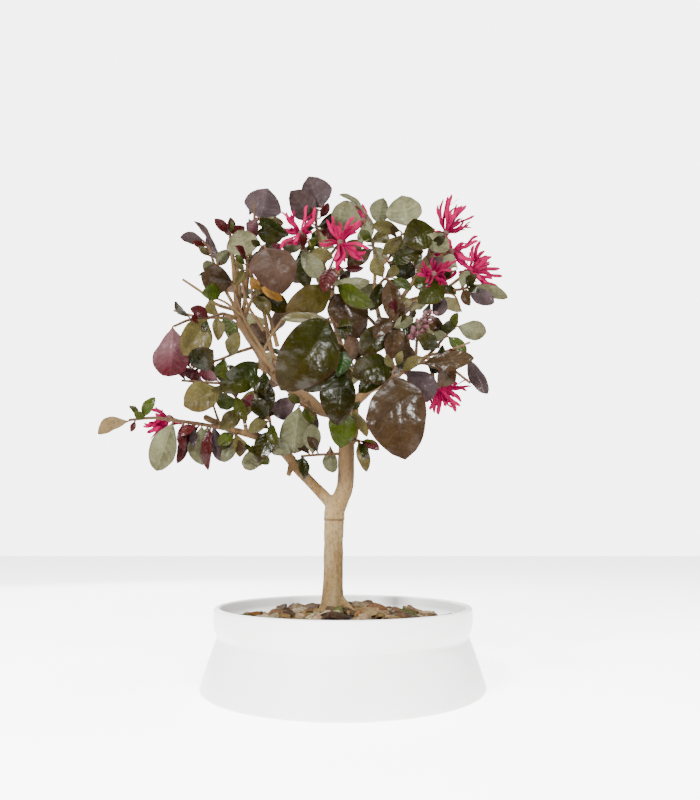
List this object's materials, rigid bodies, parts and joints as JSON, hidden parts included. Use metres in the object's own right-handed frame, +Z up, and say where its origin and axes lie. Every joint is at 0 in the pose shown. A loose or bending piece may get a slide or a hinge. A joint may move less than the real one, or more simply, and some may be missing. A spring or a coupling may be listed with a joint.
{
  "type": "potted bonsai tree",
  "caption": "Small bonsai tree with a straight trunk, forked limbs, purple-green oval leaves and pink strap-petalled flower heads, standing in a low flared round pot topped with bark chips.",
  "frame": {"origin": "middle of the pot's underside, on the surface it rests on", "axes": "+Z up, -Y towards the viewer of the picture, +X to the picture's right"},
  "size_m": [0.2747, 0.1883, 0.3514],
  "materials": {
    "pot_ceramic": "satin white glaze",
    "soil": "dry, crumbly",
    "bark_chips": "rough bark and grit",
    "bark": "fine light brown bark",
    "leaves": "half glossy above, matt below",
    "petals": "soft, crimson pink",
    "buds": "downy, dusty pink"
  },
  "bodies": {
    "root": {"bark_chips": "bark_chips", "bloom_arm": "petals", "bloom_centre": "petals", "bloom_centre_left": "petals", "bloom_low_right": "petals", "bloom_right_end": "petals", "bloom_right_middle": "petals", "bloom_right_shade": "petals", "bloom_right_top": "petals", "bud_cluster": "buds", "pot": "pot_ceramic", "soil": "soil", "spray_arm_end": "leaves", "spray_arm_inner": "leaves", "spray_arm_middle": "leaves", "spray_arm_olive": "leaves", "spray_arm_under": "leaves", "spray_back_corner": "leaves", "spray_back_fan": "leaves", "spray_back_far": "leaves", "spray_back_high": "leaves", "spray_back_inner": "leaves", "spray_back_left": "leaves", "spray_back_limb": "leaves", "spray_back_low": "leaves", "spray_back_top": "leaves", "spray_fan_fold": "leaves", "spray_fan_high": "leaves", "spray_fan_left": "leaves", "spray_fan_mauve": "leaves", "spray_fan_top": "leaves", "spray_front_big": "leaves", "spray_front_bronze": "leaves", "spray_front_low": "leaves", "spray_hanging": "leaves", "spray_left_drop": "leaves", "spray_left_inner": "leaves", "spray_left_low": "leaves", "spray_limb_low": "leaves", "spray_lower_inner": "leaves", "spray_lower_long": "leaves", "spray_lower_right": "leaves", "spray_middle_front": "leaves", "spray_middle_left": "leaves", "spray_middle_top": "leaves", "spray_right_dark": "leaves", "spray_right_end": "leaves", "spray_right_high": "leaves", "spray_right_mid": "leaves", "spray_right_side": "leaves", "spray_stem_front": "leaves", "spray_stem_right": "leaves", "spray_top": "leaves", "spray_trunk_left": "leaves", "spray_yellow": "leaves", "trunk": "bark"}
  },
  "joints": []
}
